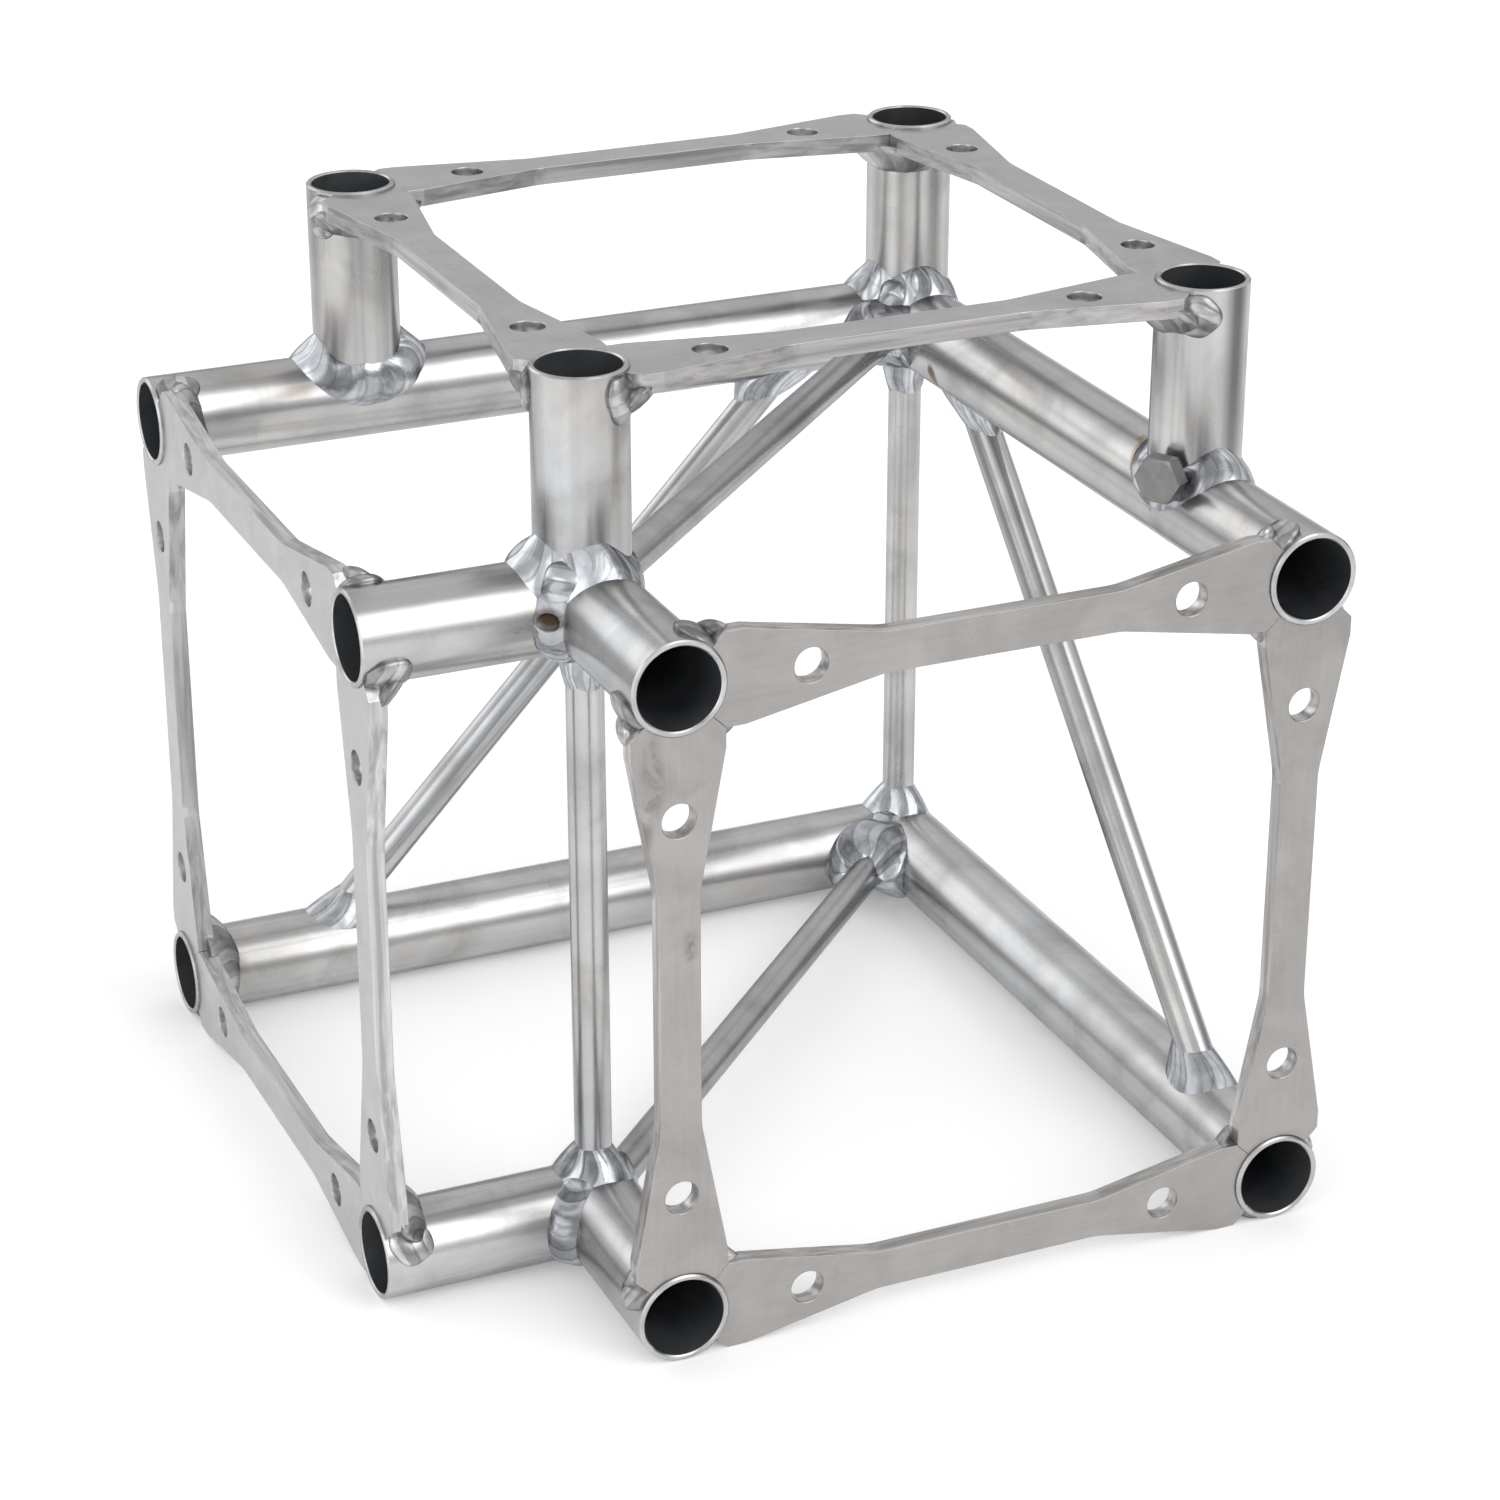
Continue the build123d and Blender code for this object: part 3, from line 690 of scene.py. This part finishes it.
rear_foot, rear_head, side_foot, side_head = 47.0, 64.0, 65.0, 70.0
rear_line = (near - rear_foot, far, low), (far - rear_head, far, high)
side_line = (far, near - side_foot, low), (far, far - side_head, high)
dress = 1.0
weld = weld_metal("weld_bright")
satin_weld = weld_metal("weld_satin", (0.50, 0.495, 0.495), 0.22)

pit = np.array([near - 30.5, near - 30.5, high + 4.0])
inward_soot = np.array([1.5, 1.5, 1.0])
pit_soot = (pit + inward_soot, (11.0, 11.0, 7.0), (0.060, 0.040, 0.022), 0.97)
brown_weld = weld_metal("weld_bright_with_pit", stains=(pit_soot,))

# Round a brace: how far the weld's face reaches along it and out over the chords, and how proud it is
skirts = {"upper": (22.0, 5.0, 0.2), "lower": (14.0, 13.5, 0.2)}
collars = {
    ("front_left", "lower"): (9.0, 9.0, 1.0),
    ("front_left", "upper"): (9.0, 9.0, 1.0),
    ("rear_right", "lower"): (22.0, 21.0, 3.6),
    ("rear_right", "upper"): (17.0, 16.0, 2.6),
}
diagonal_fillet = 18.0, 11.0, 0.1

seed = 11
for side, place in (("front_left", near), ("rear_right", far)):
    for level, height in (("lower", low), ("upper", high)):
        node = (place, place, height)
        inward = diagonal if side == "front_left" else -diagonal
        rise = up if level == "lower" else -up
        upright = Tube(node, up, brace_r, side_of(node, rise))
        flat = Tube(node, diagonal, brace_r, side_of(node, inward))
        tubes = [
            Tube(node, (1, 0, 0), chord_r, below_mitre(node)),
            Tube(node, (0, 1, 0), chord_r, above_mitre(node)),
            upright,
            flat,
        ]
        mitre = bead(*mitre_seam(node), seed, pitch=6.5, height=0.5, swell=0.7)
        if (side, level) == ("front_left", "upper"):
            mitre = (pitted(mitre[0], pit, 6.4, 4.4, 3.4, -inward), *mitre[1:])
        skirt = fillet_seam(node, rise, tubes[:2], *skirts[level])
        collar = fillet_seam(node, inward, tubes[:2], *collars[side, level])
        beads = [
            mitre,
            bead(*skirt, seed + 1, pitch=6.5, bow=4.0, height=0.4, swell=0.5),
            bead(*collar, seed + 2, power=2.4),
        ]
        if side == "rear_right":
            fill = np.array(node) - diagonal * 43.0 + up * 11
            beads.append(blob(fill, up * 0.85 - diagonal * 0.5, up, 13.0, 13.0, 5.0, seed + 6, inner=8.0))
        if level == "upper":
            beads.append(bead(*corner_stub_seam(node), seed + 3, height=0.62))
            lump = np.array(node) - diagonal * 30.5 + up * 20.5 + np.array([2.0, -2.0, 0])
            beads.append(blob(lump, up * 0.6 - diagonal, up, 12.5, 12.5, 6.2, seed + 8, inner=7.0))
            tubes.append(Tube(node, up, chord_r, round_stub(node)))
        limits = []
        if level == "lower":
            limits.append((2, -1, dress))
        if side == "rear_right":
            limits += [(0, 1, half - dress), (1, 1, half - dress)]
        metal = brown_weld if (side, level) == ("front_left", "upper") else weld
        weld_piece(f"weld_node_{level}_{side}", beads, tubes, limits, metal)
        seed += 10

for name, node, along, limit in (
    ("weld_tee_rear_left", (near, far, high), (1, 0, 0), (1, 1, half - dress)),
    ("weld_tee_front_right", (far, near, high), (0, 1, 0), (0, 1, half - dress)),
):
    tubes = [Tube(node, along, chord_r), Tube(node, up, chord_r, side_of(node, up))]
    seam = bead(*tee_seam(node, along), seed, pitch=7.0, swell=0.65)
    weld_piece(name, [seam], tubes, [limit], weld)
    seed += 10

for kind, line, along in (("rear", rear_line, (1, 0, 0)), ("side", side_line, (0, 1, 0))):
    for level, away in (("lower", 1), ("upper", -1)):
        start, end = np.array(line)[::away]
        chord = Tube(start, along, chord_r)
        fillet = fillet_seam(start, end - start, [chord], *diagonal_fillet)
        seam = bead(*fillet, seed, pitch=6.0, bow=4.0, height=0.3, swell=0.3)
        tubes = [chord, Tube(start, end - start, brace_r, side_of(start, up * away))]
        weld_piece(f"weld_diagonal_{kind}_{level}", [seam], tubes, [], weld)
        seed += 10

# Each open face: its own X, Y and outward Z in the frame as columns, its first chord end, and its corners
faces_of = {
    "left": (((0, 0, -1), (0, 1, 0), (1, 0, 0)), (-half, near, low),
             ("lower_front", "upper_front", "upper_rear", "lower_rear")),
    "front": (((1, 0, 0), (0, 0, -1), (0, 1, 0)), (near, -half, low),
              ("lower_left", "lower_right", "upper_right", "upper_left")),
    "top": (((1, 0, 0), (0, 1, 0), (0, 0, 1)), (near, near, top),
            ("front_left", "front_right", "rear_right", "rear_left")),
}
plate_back, plate_face = -12.0, -2.0
inmost = np.array([dress - half, dress - half, dress])
outmost = np.array([half - dress, half - dress, top - dress])
wrap, arc_points = 12.0, 160
chord_pitch = half_pitch * 2
for face, (turn, origin, names) in faces_of.items():
    turn = np.array(turn, float)
    places = ((0, 0), (1, 0), (1, 1), (0, 1))
    for number, (name, (u, v)) in enumerate(zip(names, places)):
        quarter = math.radians(90 * number)
        cosine, sine = math.cos(quarter), math.sin(quarter)
        spin = np.array([[cosine, -sine, 0], [sine, cosine, 0], [0, 0, 1]])
        angles = np.radians(np.linspace(-45 - wrap, 135 + wrap, arc_points))
        inner_corner = np.cos((angles - math.pi / 4) * 0.9) ** 2
        lie = np.stack([np.cos(angles), np.sin(angles), np.zeros(arc_points)], 1)
        arc = lie * (chord_r + 4.6 + 1.6 * inner_corner)[:, None]
        arc += np.outer(plate_back - 5.0 - 2.6 * inner_corner, up)
        loop = bead(arc, lie - up, 11.5 + 3.5 * inner_corner, 2.8, seed, closed=False,
                    height=0.4, swell=0.5, inner=6.0)
        parts = [loop]
        for end in (0, -1):
            pad = lie[end] * (chord_r + 0.2) - up * 14.0
            parts.append(blob(pad, lie[end], up, 10.5, 12.5, 4.6, seed + 1 + end))
        shaped = []
        for deeper, (points, faces, marks) in zip((0.24, 0.12, 0.0), parts):
            points = tucked(points, [Tube((0, 0, 0), (0, 0, 1), chord_r)])
            points[:, 2] = np.minimum(points[:, 2], plate_face - 0.4)
            local = points @ spin.T + np.array([u * chord_pitch, v * chord_pitch, 0])
            world_points = np.clip(local @ turn.T + np.array(origin), inmost + deeper, outmost - deeper)
            shaped.append((world_points, faces, marks))
        weld_piece(f"weld_{face}_plates_{name}", shaped, [], [], satin_weld)
        seed += 10

# Materials on the CAD nodes
# Greyer metal round the welds, and stains: centre, size, colour and share
halo = ((62, 62, 62), (0.36, 0.365, 0.38), 0.42)
elbows = [(near, near, low), (near, near, high), (far, far, low), (far, far, high)]
halo_x = [(elbow, *halo) for elbow in elbows + [(near, far, high)]]
halo_y = [(elbow, *halo) for elbow in elbows + [(far, near, high)]]
halo_z = [((x, y, high), *halo) for x in (near, far) for y in (near, far)]
brown, soot = (0.24, 0.19, 0.14), (0.13, 0.125, 0.12)
stains_x = halo_x + [
    ((-227, 203, 36), (14, 9, 9), brown, 0.75),
    ((near - 44, far - 20, high + 12), (14, 8, 6), (0.34, 0.28, 0.20), 0.6),
]
stains_y = halo_y + [
    ((202, 141, 366), (8, 7, 10), (0.13, 0.085, 0.04), 1.9),
    ((205, 110, 372), (9, 16, 8), brown, 0.45),
    ((201, -128, 366), (8, 13, 9), brown, 0.55),
]
stains_z = halo_z + [((200, -125, 406), (8, 7, 9), soot, 0.85)]
toe_heights = ((0.03, 0.04), (0.30, 0.27), (0.66, 0.52), (0.78, 0.68), (0.88, 0.88))
tube_x = tube_metal("tube_along_x", 0, stains_x)
tube_y = tube_metal("tube_along_y", 1, stains_y, heat_line=((far, near, high), 45.0, toe_heights))
tube_z = tube_metal("tube_upright", 2, stains_z)
thin_z = tube_metal("brace_upright", 2, chord=False)
# The flat and side braces are painted darker as painted shade (shade below 1)
thin_flat = tube_metal("brace_flat", (1, 1, 0), chord=False, shade=0.80)
rear_way, side_way = (tuple(np.subtract(end, start)) for start, end in (rear_line, side_line))
thin_rear = tube_metal("brace_rear", rear_way, chord=False)
thin_side = tube_metal("brace_side", side_way, chord=False, shade=0.86)
metals = {
    ("left_stub", "left_chord"): tube_x,
    ("front_stub", "front_chord"): tube_y,
    "top_stub": tube_z,
    "brace_upright": thin_z,
    "brace_flat": thin_flat,
    "brace_diagonal_rear": thin_rear,
    "brace_diagonal_side": thin_side,
    "hex_bolt": bolt_metal("bolt_steel_dull"),
}
# One plate stock with a brightness for each face as the light falls on it: painted light and shade. The
# left plates are painted lighter, the front plates darker and a little warm, and the top plates lie
# between.
top_plate_painted_tint, lit_left_plate_tint, shaded_front_plate_tint = (0.45, 0.45, 0.455), (0.50, 0.50, 0.502), (0.405, 0.392, 0.383)
# Tint (painted light and shade for the plate's face), the axis along which the plate is thin, and the tint
# of its sides (painted highlight on the front and left plates, painted shade on the top plates)
plates = {
    "left_plate": (lit_left_plate_tint, 0, (0.54, 0.54, 0.54)),
    "front_plate": (shaded_front_plate_tint, 1, (0.50, 0.49, 0.485)),
    "top_plate": (top_plate_painted_tint, 2, (0.41, 0.40, 0.395)),
}
plate_mats = {}
front_smears = (
    ((-120, -248, 237), (5, 8, 13), soot, 0.8),
    ((-139, -248, 330), (9, 8, 30), soot, 0.75),
    ((-143, -248, 300), (6, 8, 26), soot, 0.5),
)
edge_widths = {"hex_bolt": 0.0008}
for name, node in nodes.items():
    if name.startswith("weld"):
        continue
    metal = next((found for prefix, found in metals.items() if name.startswith(prefix)), None)
    if metal is None:
        kind = name.rsplit("_", 1)[0]
        low_corner, high_corner = box_mm(name)
        grain = int(np.argmax(high_corner - low_corner))
        key = (kind, grain)
        if key not in plate_mats:
            smears = front_smears if key == ("front_plate", 2) else ()
            tint, thin_axis, side_painted_light_tint = plates[kind]
            label = f"{kind}_{'xyz'[grain]}"
            plate_mats[key] = plate_metal(label, tint, grain, thin_axis, side_painted_light_tint, smears)
        metal = plate_mats[key]
    node.data.materials.clear()
    node.data.materials.append(metal)
    if name in edge_widths or "_plate_" in name:
        merge = node.modifiers.new("merge", "WELD")
        merge.merge_threshold = 0.00001
        edge = node.modifiers.new("edge", "BEVEL")
        edge.width = edge_widths.get(name, 0.0004)
        edge.segments = 2
        edge.limit_method = "ANGLE"
        edge.angle_limit = math.radians(35)
        edge.harden_normals = True

# Floor, light and camera
scene = bpy.context.scene
bpy.ops.mesh.primitive_plane_add(size=60)
floor = bpy.context.object
floor.name = "floor"
paper = Graph("floor_paper")
paper.shader.inputs["Base Color"].default_value = (0.86, 0.86, 0.86, 1)
paper.shader.inputs["Emission Color"].default_value = (1, 1, 1, 1)
paper.shader.inputs["Emission Strength"].default_value = 0.2
paper.shader.inputs["Roughness"].default_value = 0.8
paper.shader.inputs["Specular IOR Level"].default_value = 0.1
floor.data.materials.append(paper.material)

world = bpy.data.worlds.new("studio")
scene.world = world
world.use_nodes = True
tree = world.node_tree
background = tree.nodes["Background"]


def world_math(operation, first, second):
    node = tree.nodes.new("ShaderNodeMath")
    node.operation = operation
    for socket, value in zip(node.inputs, (first, second)):
        if isinstance(value, bpy.types.NodeSocket):
            tree.links.new(value, socket)
        else:
            socket.default_value = value
    return node.outputs[0]


where = tree.nodes.new("ShaderNodeTexCoord").outputs["Generated"]
parts = tree.nodes.new("ShaderNodeSeparateXYZ")
tree.links.new(where, parts.inputs[0])
sky = tree.nodes.new("ShaderNodeValToRGB")
tree.links.new(parts.outputs[2], sky.inputs[0])
stops = ((0.0, 0.44), (0.10, 0.50), (0.30, 0.86), (0.60, 0.88), (0.85, 0.80), (1.0, 0.80))
while len(sky.color_ramp.elements) < len(stops):
    sky.color_ramp.elements.new(0.5)
for element, (place, grey) in zip(sky.color_ramp.elements, stops):
    element.position = place
    element.color = (grey, grey, grey, 1)
radiance = sky.outputs[0]

# Soft panels of light in the studio: direction, angles of the full and the fading edge, and brightness.
panels = (
    ((0.33, -0.68, 0.65), 11, 31, 2.2),
    ((-0.50, 0.82, 0.28), 10, 30, 0.9),
    ((-0.90, -0.30, 0.32), 12, 34, 0.9),
)
for direction, full, fading, extra in panels:
    facing = tree.nodes.new("ShaderNodeVectorMath")
    facing.operation = "DOT_PRODUCT"
    tree.links.new(where, facing.inputs[0])
    facing.inputs[1].default_value = Vector(direction).normalized()
    fade = tree.nodes.new("ShaderNodeMapRange")
    fade.interpolation_type = "SMOOTHSTEP"
    tree.links.new(facing.outputs["Value"], fade.inputs[0])
    outer, inner = math.cos(math.radians(fading)), math.cos(math.radians(full))
    for number, value in zip((1, 2, 3, 4), (outer, inner, 0.0, extra)):
        fade.inputs[number].default_value = value
    radiance = world_math("ADD", radiance, fade.outputs[0])
tree.links.new(radiance, background.inputs["Color"])
background.inputs["Strength"].default_value = 1.0


def card(name, place, aim, width, height, shade, glow, share):
    """A soft-edged card, dark or glowing, which the metal reflects and the camera doesn't see."""
    bpy.ops.mesh.primitive_plane_add(size=1)
    panel = bpy.context.object
    panel.name = name
    panel.scale = (width, height, 1)
    panel.location = place
    panel.rotation_euler = (Vector(aim) - Vector(place)).to_track_quat("Z", "Y").to_euler()
    g = Graph(f"{name}_cloth")
    g.shader.inputs["Base Color"].default_value = (shade, shade, shade, 1)
    g.shader.inputs["Roughness"].default_value = 0.9
    g.shader.inputs["Emission Color"].default_value = (1, 1, 1, 1)
    g.shader.inputs["Emission Strength"].default_value = glow
    x, y, _ = g.parts(g.place())
    edge = []
    for part in (x, y):
        fall = g.math("SUBTRACT", 0.5, g.math("ABSOLUTE", part))
        edge.append(g.ramp(g.math("MULTIPLY", fall, 2.0), (0.0, 0.0), (0.75, 1.0)))
    g.put(g.shader.inputs["Alpha"], g.math("MULTIPLY", g.math("MULTIPLY", edge[0], edge[1]), share))
    panel.data.materials.append(g.material)
    panel.visible_camera = False
    panel.visible_shadow = False


card("card_right", (1.05, -0.50, 0.30), (0, 0, 0.30), 1.5, 0.9, 0.03, 0.0, 0.80)
card("card_left_rear", (-0.95, 0.95, 0.30), (0, 0, 0.30), 1.1, 0.9, 0.03, 0.0, 0.45)
card("card_left_bright", (-1.25, -0.40, 0.36), (0, 0, 0.30), 1.5, 0.9, 0.5, 1.2, 0.7)

camera_data = bpy.data.cameras.new("photo_view")
camera_data.sensor_width = 36
camera_data.lens = 94.2
camera = bpy.data.objects.new("photo_view", camera_data)
back = Vector((-0.36876, -0.83481, 0.40878)).normalized()
right = Vector((0, 0, 1)).cross(back).normalized()
upward = back.cross(right)
camera.matrix_world = Matrix((
    (right.x, upward.x, back.x, -0.78705),
    (right.y, upward.y, back.y, -1.83102),
    (right.z, upward.z, back.z, 1.11125),
    (0, 0, 0, 1),
))
scene.collection.objects.link(camera)
scene.camera = camera
scene.view_settings.view_transform = "Standard"
scene.view_settings.look = "None"
scene.view_settings.exposure = 0.0
